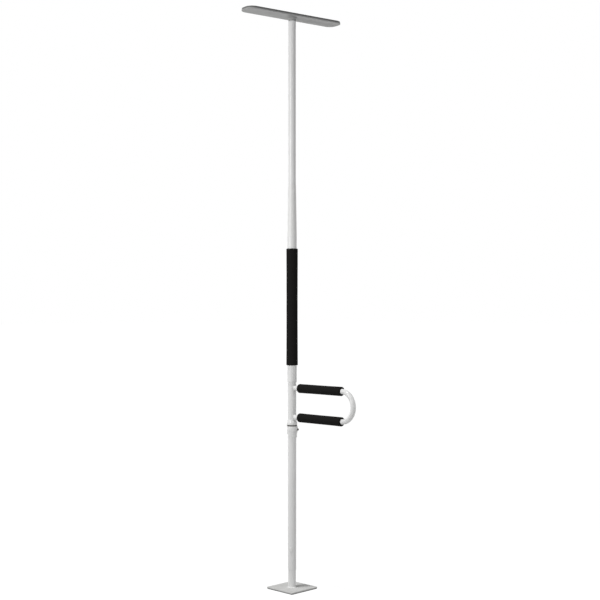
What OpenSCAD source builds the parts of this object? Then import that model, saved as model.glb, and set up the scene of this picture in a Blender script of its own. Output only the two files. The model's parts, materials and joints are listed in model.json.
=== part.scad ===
// Floor-to-ceiling transfer pole with a turning D-shaped side handle.
// A screw jack in the foot raises the pole until it is wedged between the floor and the ceiling.
// Millimetres, +Z up, origin at the centre of the face that stands on the floor, +X along the handle.

/* [Room] */
// Height from the floor to the ceiling
room_h = 2440; // [2300:5:2600]

/* [Floor foot] */
// Side of the square floor plate
plate_side = 153; // [120:1:200]
// Thickness of the floor plate
plate_t = 5; // [3:0.5:10]
// Corner radius of the floor plate
plate_corner_r = 4; // [2:0.5:15]
// Thickness of the rubber pad under the floor plate
floor_pad_t = 3; // [2:0.5:8]

/* [Foot jack] */
// Outside diameter of the post that is welded on the floor plate
post_od = 33.2; // [32:0.1:38]
// Height of the gap between the floor plate and the tube, which the post fills
post_h = 73; // [40:1:120]
// Diameter of the jack screw that stands in the post
screw_d = 25; // [18:0.5:26]
// Lift of the jack
jack_travel = 30; // [10:1:60]
// Length of the jack nut inside the tube
nut_len = 30; // [20:1:50]
// Thickness of the jack nut's rim under the tube
nut_rim_t = 3; // [2:0.5:6]
// Width of the slot that takes the turning bar
slot_w = 10; // [6:0.5:14]
// Height of the slot that takes the turning bar
slot_h = 20; // [16:1:30]

/* [Lower tube] */
// Outside diameter of the lower tube
lower_od = 35.5; // [34.5:0.1:38]
// Wall of the lower tube
lower_wall = 2; // [1.2:0.1:2.5]
// Height of the lock collar's top above the floor
collar_top_h = 689.5; // [640:0.5:900]

/* [Lock collar] */
// Outside diameter of the lock collar
collar_od = 46; // [44:0.5:52]
// Height of the lock collar's straight part
collar_h = 17; // [14:0.5:24]
// Height of the lock collar's tapered skirt
skirt_h = 30; // [14:0.5:40]
// Rise of the skirt's slanting lower edge, from the bolt's side to the far side
skirt_rise = 15; // [5:0.5:20]
// Offset of the lock collar towards its bolt
collar_offset = 2; // [1:0.1:4]
// Diameter of the lock bolts' shank
bolt_d = 6; // [4:0.5:7]
// Diameter of the lock bolts' head
bolt_head_d = 9; // [8.5:0.5:14]
// Height of the lock bolts' head
bolt_head_h = 4; // [3:0.5:10]

/* [Core] */
// Outside diameter of the core tube
core_od = 28; // [26:0.1:28.5]
// Wall of the core tube
core_wall = 2.5; // [1.5:0.1:4]
// Depth of the core tube below the lock collar's top
core_depth = 150; // [90:1:250]
// Length of the core tube inside the grip tube
core_insert = 126; // [100:1:200]

/* [Handle] */
// Outside diameter of the handle hub
hub_od = 35.5; // [35:0.1:40]
// Outside diameter of the hub's foot and of the ring under it
hub_foot_od = 44.5; // [43.5:0.5:52]
// Height of the hub's foot
hub_foot_h = 8.5; // [7:0.5:10]
// Height of the taper from the hub's foot to the hub
hub_taper_h = 12.7; // [6:0.1:12.7]
// Height of the lower bar's axis above the hub's bottom
bar_rise = 32.6; // [32:0.1:60]
// Distance between the two bars' axes
bar_spacing = 123.8; // [90:0.1:160]
// Length of the bars from the pole's axis to the bend
bar_straight = 290; // [200:1:350]
// Outside diameter of the bent handle tube
bar_od = 22; // [18:0.5:25.5]
// Wall of the bent handle tube
bar_wall = 2; // [1:0.1:3]
// Outside diameter of the hand grips
hand_grip_od = 38; // [28:0.5:40]
// Distance from the pole's axis to the hand grips
hand_grip_start = 45; // [30:1:70]
// Length of the hand grips
hand_grip_len = 244; // [120:1:245]

/* [Grip tube] */
// Outside diameter of the grip tube
grip_tube_od = 40; // [38.2:0.1:42]
// Wall of the grip tube
grip_tube_wall = 1.7; // [1.2:0.1:1.8]
// Outside diameter of the pole grip
pole_grip_od = 48.5; // [44:0.5:60]
// Length of the pole grip
pole_grip_len = 495.5; // [300:0.5:600]
// Distance from the grip tube's lower end to the pole grip
pole_grip_rise = 69.5; // [40:0.5:71]

/* [Top tube] */
// Outside diameter of the top tube
top_od = 32; // [30:0.1:33.6]
// Wall of the top tube
top_wall = 2; // [1.2:0.1:3]
// Length of the top tube inside the grip tube
top_overlap = 290; // [160:1:300]

/* [Ceiling head] */
// Length of the ceiling plate
head_len = 488; // [300:1:600]
// Width of the ceiling plate
head_w = 88; // [72:1:140]
// Thickness of the ceiling plate
head_t = 5; // [3:0.5:12]
// Corner radius of the ceiling plate
head_corner_r = 34; // [5:0.5:34.5]
// Thickness of the rubber pad on the ceiling plate
head_pad_t = 5.5; // [3:0.5:12]
// Direction of the ceiling plate, from the handle's direction
head_azimuth = 81; // [0:1:180]
// Diameter of the boss under the ceiling plate
boss_d = 43; // [42:0.5:60]
// Height of the boss under the ceiling plate
boss_h = 15; // [8:0.5:30]
// Diameter of the swivel spigot
spigot_d = 16; // [10:0.5:22]

/* [Hidden] */
$fn = 96;

// Clearances: radial fit of seated and running pieces, gap between pieces that move apart, cut overrun
fit_gap = 0.05;
face_gap = 0.3;
overrun = 1;

// Directions around the pole, in degrees from the handle
slot_azimuth = -62;
lock_azimuth = 25;
height_lock_azimuth = 135;
pin_azimuth = 45;
index_count = 8;
dome_count = 4;
index_pin_azimuth = 180 / index_count;

// Small sizes of the foot
pad_inset = 1;
post_fillet = 2.5;
post_fillet_h = 3;
thread_reserve = 13;
slot_clear = 3.4;
plug_head_t = 2;
plug_rim = 1.5;

// Small sizes of the lower tube and the lock collar
seat_t = 12;
pin_d = 8;
pin_short = 0.6;
bush_len = 28;
bush_rim_t = 2;
collar_cap_t = 20;
skirt_edge = 2;
skirt_ledge = 1;
socket_d = 4.6;
socket_deep = 2;
washer_t = 1.7;
washer_recess = 0.5;

// Small sizes of the core and the handle
foot_floor_t = 6;
foot_cup_h = 26;
ring_t = 5;
index_pin_d = 3;
index_pin_len = 7;
recess_h = 4.2;
recess_wall = 1.4;
spring_t = 0.8;
spring_flex = 1.2;
spring_foot_d = 4;
spring_foot_in = 1;
dome_dip = 0.8;
dome_gap = 0.3;
dome_side_gap = 0.25;
hub_wall = 1.8;
hub_over = 23.1;
seam_recess = 1;
hub_bush_len = 30;
adapter_rim_t = 2;
adapter_len = 116;
core_pin_rise = 78;
foam_round = 3;
foam_round_share = 0.5;

// Small sizes of the grip tube, the top tube and the ceiling head
grip_bush_len = 26;
grip_bush_taper_h = 220;
grip_bush_lip = 0.6;
boss_stub_d = 14;
boss_stub_h = 6;
lock_clear = 5.3;
lock_bush_gap = 5.2;
glide_h = 10;
glide_plug_len = 25;
glide_bore = 20;
plug_len = 40;
plug_rim_t = 2;
swivel_washer_t = 1.5;
spigot_clear = 2;
boss_edge_t = 3;

// Inside sizes that follow from the tubes
lower_id = lower_od - 2 * lower_wall;
core_id = core_od - 2 * core_wall;
bar_id = bar_od - 2 * bar_wall;
grip_tube_id = grip_tube_od - 2 * grip_tube_wall;
top_id = top_od - 2 * top_wall;
hub_bore = hub_od - 2 * hub_wall;
bend_r = bar_spacing / 2;

// Heights of the foot and the lower tube
plate_z = floor_pad_t;
plate_top = plate_z + plate_t;
tube_end = plate_top + post_h;
screw_top = tube_end + nut_len + jack_travel + thread_reserve;
slot_z = screw_top + slot_clear + slot_h / 2;
lower_z = tube_end + nut_rim_t;
collar_top = collar_top_h;
collar_z = collar_top - collar_h;
skirt_z = collar_z - skirt_h;
skirt_od = max(collar_od - 2 * collar_offset, lower_od + 2 * skirt_ledge);
skirt_slant = atan(skirt_rise / skirt_od);
shoulder_z = collar_top - collar_cap_t;
lower_top = shoulder_z - bush_rim_t;
lock_bolt_z = collar_top - collar_cap_t / 2 - bush_rim_t;
core_z = collar_top - core_depth;
foot_z = core_z - foot_floor_t;
seat_z = foot_z - face_gap - seat_t;

// Heights of the handle
ring_z = collar_top + washer_t + face_gap;
ring_top = ring_z + ring_t;
hub_z = ring_top + face_gap;
lower_bar_z = hub_z + bar_rise;
upper_bar_z = lower_bar_z + bar_spacing;
hub_top = upper_bar_z + hub_over;
hub_rim_top = hub_top + bush_rim_t;
recess_low_r = hub_bore / 2;
recess_high_r = hub_foot_od / 2 - recess_wall;
recess_top = hub_z + recess_h;
spring_top = recess_top - spring_flex;
spring_z = spring_top - spring_t;
dome_place_r = (recess_low_r + recess_high_r) / 2;
dome_r = (recess_high_r - recess_low_r) / 2 - dome_side_gap;
dome_z = ring_top - dome_dip + dome_r;

// Heights of the grip tube, the top tube and the ceiling head
adapter_z = hub_rim_top + face_gap;
grip_z = adapter_z + adapter_rim_t;
core_top = grip_z + core_insert;
core_pin_z = grip_z + core_pin_rise;
pole_grip_z = grip_z + pole_grip_rise;
pole_grip_top = pole_grip_z + pole_grip_len;
lock_r = max(boss_stub_d, bolt_head_d) / 2;
height_lock_z = pole_grip_top + lock_clear + lock_r;
grip_bush_z = height_lock_z + lock_r + lock_bush_gap;
grip_top = grip_bush_z + grip_bush_len;
grip_tube_len = grip_top - grip_z;
top_z = grip_top - top_overlap;
head_pad_z = room_h - head_pad_t;
head_z = head_pad_z - head_t;
boss_z = head_z - boss_h;
swivel_washer_z = boss_z - face_gap - swivel_washer_t;
top_end = swivel_washer_z - plug_rim_t;

// Finishes
white_coat = [0.93, 0.93, 0.92];
grey_coat = [0.71, 0.71, 0.70];
bright_steel = [0.72, 0.73, 0.74];
black_foam = [0.08, 0.08, 0.08];
grey_rubber = [0.34, 0.34, 0.34];
black_steel = [0.16, 0.15, 0.15];
white_nylon = [0.88, 0.88, 0.85];
bronze = [0.70, 0.55, 0.32];

// Shared shapes

// Tube or disc between two heights, with an optional bore
module sleeve(outer_d, inner_d, low, high) {
    difference() {
        translate([0, 0, low]) cylinder(d = outer_d, h = high - low);
        translate([0, 0, low - overrun]) cylinder(d = inner_d, h = high - low + 2 * overrun);
    }
}

// Turns a shape that runs along Z so that it points outwards from the pole at a height
module outward(azimuth, height) {
    rotate([0, 0, azimuth]) translate([0, 0, height]) rotate([0, 90, 0]) children();
}

// Straight pin through the pole's axis
module cross_pin(diameter, length, azimuth, height) {
    outward(azimuth, height) cylinder(d = diameter, h = length, center = true);
}

// Flat plate with round corners
module round_plate(length, width, thick, corner) {
    linear_extrude(thick) {
        square([length - 2 * corner, width], center = true);
        square([length, width - 2 * corner], center = true);
        for (sx = [-1, 1], sy = [-1, 1])
            translate([sx * (length / 2 - corner), sy * (width / 2 - corner)]) circle(corner);
    }
}

// Soft tube along Z with rounded outer edges
module foam_sleeve(outer_d, inner_d, length) {
    edge = min(foam_round, foam_round_share * (outer_d - inner_d) / 2);
    rotate_extrude() {
        translate([inner_d / 2, 0]) square([(outer_d - inner_d) / 2 - edge, length]);
        translate([inner_d / 2, edge]) square([(outer_d - inner_d) / 2, length - 2 * edge]);
        for (z = [edge, length - edge]) translate([outer_d / 2 - edge, z]) circle(edge);
    }
}

// Cap-headed bolt along Z from its tip, with a hexagon socket
module cap_bolt(shank_len) {
    difference() {
        union() {
            cylinder(d = bolt_d, h = shank_len);
            translate([0, 0, shank_len]) cylinder(d = bolt_head_d, h = bolt_head_h);
        }
        translate([0, 0, shank_len + bolt_head_h - socket_deep])
            cylinder(d = socket_d, h = socket_deep + overrun, $fn = 6);
    }
}

// Slot outline with round ends, along Z, pointing outwards from the pole
module slot_prism(width, height, length) {
    rotate([0, 0, slot_azimuth]) translate([0, 0, slot_z]) rotate([90, 0, 90]) linear_extrude(length) {
        square([width, height - width], center = true);
        for (s = [-1, 1]) translate([0, s * (height - width) / 2]) circle(d = width);
    }
}

// Even places on the detent's circle, from a first direction
module around(count, first) {
    for (i = [0 : count - 1])
        rotate([0, 0, first + i * 360 / count]) translate([dome_place_r, 0, 0]) children();
}

// Bent handle tube's full outline at a diameter
module handle_path(diameter) {
    for (z = [lower_bar_z, upper_bar_z])
        translate([0, 0, z]) rotate([0, 90, 0]) cylinder(d = diameter, h = bar_straight);
    translate([bar_straight, 0, lower_bar_z + bend_r]) rotate([90, 0, 0]) rotate([0, 0, -90])
        rotate_extrude(angle = 180) translate([bend_r, 0]) circle(d = diameter);
}

// Floor foot

module floor_pad() {
    side = plate_side - 2 * pad_inset;
    color(grey_rubber) round_plate(side, side, floor_pad_t, plate_corner_r);
}

module floor_plate() {
    color(white_coat) translate([0, 0, plate_z])
        round_plate(plate_side, plate_side, plate_t, plate_corner_r);
}

module foot_post() {
    color(white_coat) difference() {
        union() {
            translate([0, 0, plate_top]) cylinder(d = post_od, h = post_h - face_gap);
            translate([0, 0, plate_top])
                cylinder(d1 = post_od + 2 * post_fillet, d2 = post_od, h = post_fillet_h);
        }
        translate([0, 0, plate_top - overrun])
            cylinder(d = screw_d + 2 * fit_gap, h = post_h + 2 * overrun);
    }
}

module jack_screw() {
    color(bright_steel) translate([0, 0, plate_top]) cylinder(d = screw_d, h = screw_top - plate_top);
}

// Lower tube, which turns on the jack screw

module lower_tube() {
    color(white_coat) difference() {
        sleeve(lower_od, lower_id, lower_z, lower_top);
        for (turn = [0, 180]) rotate([0, 0, turn]) slot_prism(slot_w, slot_h, lower_od);
        cross_pin(pin_d + 2 * fit_gap, lower_od + 2 * overrun, pin_azimuth, seat_z + seat_t / 2);
    }
}

module jack_nut() {
    color(white_coat) difference() {
        union() {
            translate([0, 0, tube_end]) cylinder(d = lower_od, h = nut_rim_t);
            translate([0, 0, tube_end]) cylinder(d = lower_id - 2 * fit_gap, h = nut_len);
        }
        translate([0, 0, tube_end - overrun])
            cylinder(d = screw_d + 2 * fit_gap, h = nut_len + 2 * overrun);
    }
}

module bar_slot_plugs() {
    color(white_coat) for (turn = [0, 180]) rotate([0, 0, turn]) difference() {
        union() {
            slot_prism(slot_w - 2 * fit_gap, slot_h - 2 * fit_gap, lower_od / 2);
            intersection() {
                slot_prism(slot_w + 2 * plug_rim, slot_h + 2 * plug_rim, lower_od);
                sleeve(lower_od + 2 * plug_head_t, lower_od + 2 * fit_gap, lower_z, lower_top);
            }
        }
        translate([0, 0, lower_z]) cylinder(d = lower_id, h = lower_top - lower_z);
    }
}

module thrust_seat() {
    color(bright_steel) difference() {
        translate([0, 0, seat_z]) cylinder(d = lower_id - 2 * fit_gap, h = seat_t);
        cross_pin(pin_d + 2 * fit_gap, lower_od + 2 * overrun, pin_azimuth, seat_z + seat_t / 2);
    }
}

module seat_pin() {
    color(bright_steel) cross_pin(pin_d, lower_od - 2 * pin_short, pin_azimuth, seat_z + seat_t / 2);
}

module lower_mouth_bush() {
    color(white_nylon) {
        sleeve(lower_id - 2 * fit_gap, core_od + 2 * fit_gap, lower_top - bush_len, lower_top);
        sleeve(lower_od, core_od + 2 * fit_gap, lower_top, shoulder_z);
    }
}

module lock_collar() {
    color(white_coat) difference() {
        union() {
            rotate([0, 0, lock_azimuth]) translate([collar_offset, 0, 0]) {
                translate([0, 0, collar_z]) cylinder(d = collar_od, h = collar_h);
                translate([0, 0, skirt_z])
                    cylinder(d1 = lower_od - 2 * skirt_edge, d2 = collar_od, h = skirt_h);
            }
            translate([0, 0, skirt_z]) cylinder(d = skirt_od, h = skirt_h);
        }
        translate([0, 0, skirt_z + skirt_rise / 2]) rotate([0, 0, lock_azimuth]) rotate([0, skirt_slant, 0])
            translate([-collar_od, -collar_od, -2 * collar_od]) cube(2 * collar_od);
        translate([0, 0, skirt_z - overrun])
            cylinder(d = lower_od + 2 * fit_gap, h = shoulder_z - skirt_z + overrun);
        translate([0, 0, skirt_z]) cylinder(d = core_od + 2 * face_gap, h = collar_top - skirt_z + overrun);
        outward(lock_azimuth, lock_bolt_z) cylinder(d = bolt_d + 2 * fit_gap, h = collar_od);
    }
}

module thrust_washer() {
    color(white_nylon)
        sleeve(hub_foot_od - 2 * washer_recess, core_od + 2 * face_gap, collar_top, collar_top + washer_t);
}

module lock_bolt() {
    tip = core_od / 2 + face_gap;
    color(black_steel) outward(lock_azimuth, lock_bolt_z) translate([0, 0, tip])
        cap_bolt(collar_od / 2 + collar_offset + face_gap - tip);
}

// Core, which runs through the handle and joins the lower tube to the grip tube

module core_tube() {
    color(white_coat) difference() {
        sleeve(core_od, core_id, core_z, core_top);
        cross_pin(pin_d + 2 * fit_gap, grip_tube_od + 2 * overrun, pin_azimuth, core_pin_z);
        outward(index_pin_azimuth, ring_z + ring_t / 2)
            cylinder(d = index_pin_d + 2 * fit_gap, h = hub_foot_od);
    }
}

module core_foot() {
    color(bronze) difference() {
        translate([0, 0, foot_z]) cylinder(d = lower_id - 2 * fit_gap, h = foot_floor_t + foot_cup_h);
        translate([0, 0, core_z]) cylinder(d = core_od + 2 * fit_gap, h = foot_cup_h + overrun);
    }
}

module index_ring() {
    color(black_steel) difference() {
        sleeve(hub_foot_od - 2 * washer_recess, core_od + 2 * fit_gap, ring_z, ring_top);
        outward(index_pin_azimuth, ring_z + ring_t / 2)
            cylinder(d = index_pin_d + 2 * fit_gap, h = hub_foot_od);
        around(index_count, 0) translate([0, 0, dome_z]) sphere(dome_r + dome_gap);
    }
}

module index_pin() {
    color(bright_steel) outward(index_pin_azimuth, ring_z + ring_t / 2)
        translate([0, 0, core_id / 2]) cylinder(d = index_pin_d, h = index_pin_len);
}

module core_adapter() {
    color(white_coat) difference() {
        union() {
            translate([0, 0, adapter_z]) cylinder(d = grip_tube_od, h = adapter_rim_t);
            translate([0, 0, adapter_z]) cylinder(d = grip_tube_id - 2 * fit_gap, h = adapter_len);
        }
        translate([0, 0, adapter_z - overrun])
            cylinder(d = core_od + 2 * fit_gap, h = adapter_len + 2 * overrun);
        cross_pin(pin_d + 2 * fit_gap, grip_tube_od + 2 * overrun, pin_azimuth, core_pin_z);
    }
}

module core_pin() {
    color(bright_steel) cross_pin(pin_d, grip_tube_od - 2 * pin_short, pin_azimuth, core_pin_z);
}

// Grip tube

module grip_tube() {
    color(white_coat) difference() {
        sleeve(grip_tube_od, grip_tube_id, grip_z, grip_top);
        cross_pin(pin_d + 2 * fit_gap, grip_tube_od + 2 * overrun, pin_azimuth, core_pin_z);
        outward(height_lock_azimuth, height_lock_z) cylinder(d = bolt_d + 2 * fit_gap, h = grip_tube_od);
    }
}

module pole_grip() {
    color(black_foam) translate([0, 0, pole_grip_z])
        foam_sleeve(pole_grip_od, grip_tube_od + 2 * fit_gap, pole_grip_len);
}

module grip_tube_bush() {
    color(white_nylon) difference() {
        union() {
            translate([0, 0, grip_bush_z]) cylinder(d = grip_tube_id - 2 * fit_gap, h = grip_bush_len);
            translate([0, 0, grip_top])
                cylinder(d1 = grip_tube_od, d2 = top_od + 2 * grip_bush_lip, h = grip_bush_taper_h);
        }
        translate([0, 0, grip_bush_z - overrun])
            cylinder(d = top_od + 2 * fit_gap, h = grip_bush_len + grip_bush_taper_h + 2 * overrun);
    }
}

module height_lock_boss() {
    color(white_coat) difference() {
        outward(height_lock_azimuth, height_lock_z)
            cylinder(d = boss_stub_d, h = grip_tube_od / 2 + boss_stub_h);
        translate([0, 0, grip_z]) cylinder(d = grip_tube_od + 2 * fit_gap, h = grip_tube_len);
        outward(height_lock_azimuth, height_lock_z) cylinder(d = bolt_d + 2 * fit_gap, h = grip_tube_od);
    }
}

module height_lock_bolt() {
    tip = top_od / 2 + face_gap;
    color(black_steel) outward(height_lock_azimuth, height_lock_z) translate([0, 0, tip])
        cap_bolt(grip_tube_od / 2 + boss_stub_h + face_gap - tip);
}

// Handle, which turns round the core and clicks into the index ring

module hub_bush(low) {
    color(white_nylon) sleeve(hub_bore - 2 * fit_gap, core_od + 2 * fit_gap, low, low + hub_bush_len);
}

module hub_lower_bush() {
    hub_bush(recess_top + face_gap);
}

module hub_upper_bush() {
    hub_bush(hub_top - hub_bush_len);
    color(white_nylon) sleeve(hub_od - 2 * seam_recess, core_od + 2 * fit_gap, hub_top, hub_rim_top);
}

module detent_spring() {
    color(bright_steel) {
        sleeve(2 * recess_high_r - 2 * fit_gap, 2 * recess_low_r + 2 * face_gap, spring_z, spring_top);
        around(dome_count, 0) intersection() {
            translate([0, 0, dome_z]) sphere(dome_r);
            translate([0, 0, spring_top - 4 * dome_r]) cylinder(r = 2 * dome_r, h = 4 * dome_r);
        }
        around(dome_count, 180 / dome_count) translate([0, 0, spring_z])
            cylinder(d = spring_foot_d, h = recess_top + spring_foot_in - spring_z);
    }
}

module handle_hub() {
    color(white_coat) difference() {
        union() {
            translate([0, 0, hub_z]) cylinder(d = hub_od, h = hub_top - hub_z);
            translate([0, 0, hub_z]) cylinder(d = hub_foot_od, h = hub_foot_h);
            translate([0, 0, hub_z + hub_foot_h]) cylinder(d1 = hub_foot_od, d2 = hub_od, h = hub_taper_h);
        }
        translate([0, 0, hub_z - overrun]) cylinder(d = hub_bore, h = hub_top - hub_z + 2 * overrun);
        translate([0, 0, hub_z - overrun]) cylinder(r = recess_high_r, h = recess_h + overrun);
        around(dome_count, 180 / dome_count) translate([0, 0, recess_top - overrun])
            cylinder(d = spring_foot_d + 2 * fit_gap, h = spring_foot_in + overrun);
    }
}

module handle_bar() {
    color(white_coat) difference() {
        handle_path(bar_od);
        handle_path(bar_id);
        translate([0, 0, hub_z]) cylinder(d = hub_od + 2 * fit_gap, h = hub_top - hub_z);
    }
}

module hand_grip(height) {
    color(black_foam) translate([hand_grip_start, 0, height]) rotate([0, 90, 0])
        foam_sleeve(hand_grip_od, bar_od + 2 * fit_gap, hand_grip_len);
}

module upper_hand_grip() {
    hand_grip(upper_bar_z);
}

module lower_hand_grip() {
    hand_grip(lower_bar_z);
}

// Top tube, which slides in the grip tube

module top_tube() {
    color(white_coat) sleeve(top_od, top_id, top_z, top_end);
}

module top_glide() {
    color(white_nylon) difference() {
        union() {
            translate([0, 0, top_z - glide_h]) cylinder(d = grip_tube_id - 2 * fit_gap, h = glide_h);
            translate([0, 0, top_z]) cylinder(d = top_id - 2 * fit_gap, h = glide_plug_len);
        }
        translate([0, 0, top_z - glide_h - overrun])
            cylinder(d = glide_bore, h = glide_h + glide_plug_len + 2 * overrun);
    }
}

module swivel_plug() {
    color(bright_steel) {
        translate([0, 0, top_end - plug_len]) cylinder(d = top_id - 2 * fit_gap, h = plug_len);
        translate([0, 0, top_end]) cylinder(d = top_od, h = plug_rim_t);
        translate([0, 0, top_end]) cylinder(d = spigot_d, h = head_z - spigot_clear - top_end);
    }
}

module swivel_washer() {
    color(white_nylon)
        sleeve(top_od, spigot_d + 2 * fit_gap, swivel_washer_z, swivel_washer_z + swivel_washer_t);
}

// Ceiling head, which swivels on the top tube

module ceiling_boss() {
    flare_r = min((boss_d - top_od) / 2, boss_h - boss_edge_t);
    color(grey_coat) rotate_extrude() difference() {
        translate([spigot_d / 2 + fit_gap, boss_z])
            square([boss_d / 2 - spigot_d / 2 - fit_gap, boss_h]);
        translate([top_od / 2, boss_z - overrun])
            square([boss_d, boss_h - flare_r - boss_edge_t + overrun]);
        translate([top_od / 2 + flare_r, head_z - boss_edge_t - flare_r]) circle(flare_r);
    }
}

module ceiling_plate() {
    color(grey_coat) translate([0, 0, head_z]) rotate([0, 0, head_azimuth])
        round_plate(head_len, head_w, head_t, head_corner_r);
}

module ceiling_pad() {
    color(grey_rubber) translate([0, 0, head_pad_z]) rotate([0, 0, head_azimuth])
        round_plate(head_len - 2 * pad_inset, head_w - 2 * pad_inset, head_pad_t, head_corner_r);
}

floor_pad();
floor_plate();
foot_post();
jack_screw();
lower_tube();
jack_nut();
bar_slot_plugs();
thrust_seat();
seat_pin();
lower_mouth_bush();
lock_collar();
thrust_washer();
lock_bolt();
core_tube();
core_foot();
index_ring();
index_pin();
core_adapter();
core_pin();
grip_tube();
pole_grip();
grip_tube_bush();
height_lock_boss();
height_lock_bolt();
hub_lower_bush();
hub_upper_bush();
detent_spring();
handle_hub();
handle_bar();
upper_hand_grip();
lower_hand_grip();
top_tube();
top_glide();
swivel_plug();
swivel_washer();
ceiling_boss();
ceiling_plate();
ceiling_pad();
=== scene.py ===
# %% [markdown]
# # A floor-to-ceiling transfer pole
#
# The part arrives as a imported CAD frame: solids with the right sizes, places and joints, but
# bare. This lesson dresses it. Each step names a piece of the real pole, says how it could be
# made, and works its surface out as whole arrays of points. Lengths in the steps are millimetres,
# as on a workshop drawing, and become metres when a mesh is made.

# %% Load the frame
import json
import math

import bpy
import numpy as np
from mathutils import Matrix, Vector


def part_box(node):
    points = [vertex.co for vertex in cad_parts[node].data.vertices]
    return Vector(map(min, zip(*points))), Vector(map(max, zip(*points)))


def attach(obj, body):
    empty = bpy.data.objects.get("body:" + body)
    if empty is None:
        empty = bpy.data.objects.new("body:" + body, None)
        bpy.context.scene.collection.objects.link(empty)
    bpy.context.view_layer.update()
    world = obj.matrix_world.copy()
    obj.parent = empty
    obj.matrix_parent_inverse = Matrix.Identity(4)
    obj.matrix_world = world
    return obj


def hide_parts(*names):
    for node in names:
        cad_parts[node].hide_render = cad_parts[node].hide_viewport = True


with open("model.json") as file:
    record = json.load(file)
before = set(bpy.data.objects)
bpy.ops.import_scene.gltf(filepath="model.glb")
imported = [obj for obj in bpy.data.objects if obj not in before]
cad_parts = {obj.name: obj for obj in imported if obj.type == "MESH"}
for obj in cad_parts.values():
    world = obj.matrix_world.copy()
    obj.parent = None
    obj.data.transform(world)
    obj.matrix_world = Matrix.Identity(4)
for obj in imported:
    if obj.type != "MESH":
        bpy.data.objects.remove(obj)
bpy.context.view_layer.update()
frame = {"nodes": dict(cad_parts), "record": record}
MM = 0.001
CM3 = 1e-6
TURN = 2 * np.pi

# %% [markdown]
# ## Camera
#
# The photograph looks at the pole from a step to the right of the handle's root, at about
# shoulder height, through a lens long enough to keep the tall pole straight. A camera can be
# placed by eye, but here its place was worked out from the corners of the floor plate and the
# ends of the two bars, so it is written as a distance, a height, a small step sideways and a
# small tilt.

# %% Camera
CAMERA_AZIMUTH = math.radians(45)
CAMERA_DISTANCE = 4.909
CAMERA_HEIGHT = 1.2049
CAMERA_STEP_RIGHT = 0.0337
CAMERA_TILT_UP = math.radians(0.262)
LENS_PIXELS = 1153.24
FRAME_PIXELS = 600
SENSOR_MM = 36

right = Vector((math.cos(CAMERA_AZIMUTH), math.sin(CAMERA_AZIMUTH), 0))
away = Vector((-math.sin(CAMERA_AZIMUTH), math.cos(CAMERA_AZIMUTH), 0))
up = Vector((0, 0, 1))
camera = bpy.data.objects.new("photo_camera", bpy.data.cameras.new("photo_camera"))
bpy.context.scene.collection.objects.link(camera)
camera.data.sensor_width = SENSOR_MM
camera.data.lens = LENS_PIXELS / FRAME_PIXELS * SENSOR_MM
camera.location = -away * CAMERA_DISTANCE + right * CAMERA_STEP_RIGHT + up * CAMERA_HEIGHT
sight = away * math.cos(CAMERA_TILT_UP) + up * math.sin(CAMERA_TILT_UP)
camera.rotation_euler = sight.to_track_quat("-Z", "Y").to_euler()
bpy.context.scene.camera = camera
bpy.context.scene.view_settings.view_transform = "Standard"
print("camera at", [round(x, 3) for x in camera.location], "lens", round(camera.data.lens, 2))

# %% [markdown]
# ## Studio
#
# The pole stands on white with hardly a shadow. Flooding it with light would bleach the white
# coat, so the background is white only to the camera, to reflections and to see-through rays,
# while the light that falls on the pole comes from a calmer grey world, a pale floor, two tall
# panels and one far, high light. The key panel is narrow and near, to the left: it leaves a
# bright streak on the left third of each tube, which fades towards both ends. The fill is wide
# and weak, and lifts the right-hand side. The high light lays the post's short shadow on the
# floor plate.


# %% Studio
def seen_directly(tree):
    """1 for camera, glossy and transmission rays, else 0."""
    path = tree.nodes.new("ShaderNodeLightPath")
    first = tree.nodes.new("ShaderNodeMath")
    first.operation = "MAXIMUM"
    tree.links.new(path.outputs["Is Camera Ray"], first.inputs[0])
    tree.links.new(path.outputs["Is Glossy Ray"], first.inputs[1])
    both = tree.nodes.new("ShaderNodeMath")
    both.operation = "MAXIMUM"
    tree.links.new(first.outputs[0], both.inputs[0])
    tree.links.new(path.outputs["Is Transmission Ray"], both.inputs[1])
    return both.outputs[0]


AMBIENT = 0.24
world = bpy.data.worlds.new("white_studio")
world.use_nodes = True
bpy.context.scene.world = world
tree = world.node_tree
tree.nodes.clear()
lit = tree.nodes.new("ShaderNodeBackground")
lit.inputs["Color"].default_value = (1, 1, 1, 1)
lit.inputs["Strength"].default_value = AMBIENT
shown = tree.nodes.new("ShaderNodeBackground")
shown.inputs["Color"].default_value = (1, 1, 1, 1)
shown.inputs["Strength"].default_value = 1
mix = tree.nodes.new("ShaderNodeMixShader")
tree.links.new(seen_directly(tree), mix.inputs["Fac"])
tree.links.new(lit.outputs[0], mix.inputs[1])
tree.links.new(shown.outputs[0], mix.inputs[2])
output = tree.nodes.new("ShaderNodeOutputWorld")
tree.links.new(mix.outputs[0], output.inputs["Surface"])

FLOOR_GREY = 0.5
FLOOR_GLOW = 0.9
FLOOR_SHADOW = 0.2
FLOOR_HALF = 60
FLOOR_DROP = 0.0002
floor_white = bpy.data.materials.new("studio_floor")
floor_white.use_nodes = True
tree = floor_white.node_tree
tree.nodes.clear()
glow = tree.nodes.new("ShaderNodeEmission")
glow.inputs["Strength"].default_value = FLOOR_GLOW
shade = tree.nodes.new("ShaderNodeBsdfDiffuse")
shade.inputs["Color"].default_value = (FLOOR_SHADOW, FLOOR_SHADOW, FLOOR_SHADOW, 1)
look = tree.nodes.new("ShaderNodeAddShader")
tree.links.new(glow.outputs[0], look.inputs[0])
tree.links.new(shade.outputs[0], look.inputs[1])
bounce = tree.nodes.new("ShaderNodeBsdfDiffuse")
bounce.inputs["Color"].default_value = (FLOOR_GREY, FLOOR_GREY, FLOOR_GREY, 1)
mix = tree.nodes.new("ShaderNodeMixShader")
tree.links.new(seen_directly(tree), mix.inputs["Fac"])
tree.links.new(bounce.outputs[0], mix.inputs[1])
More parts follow.
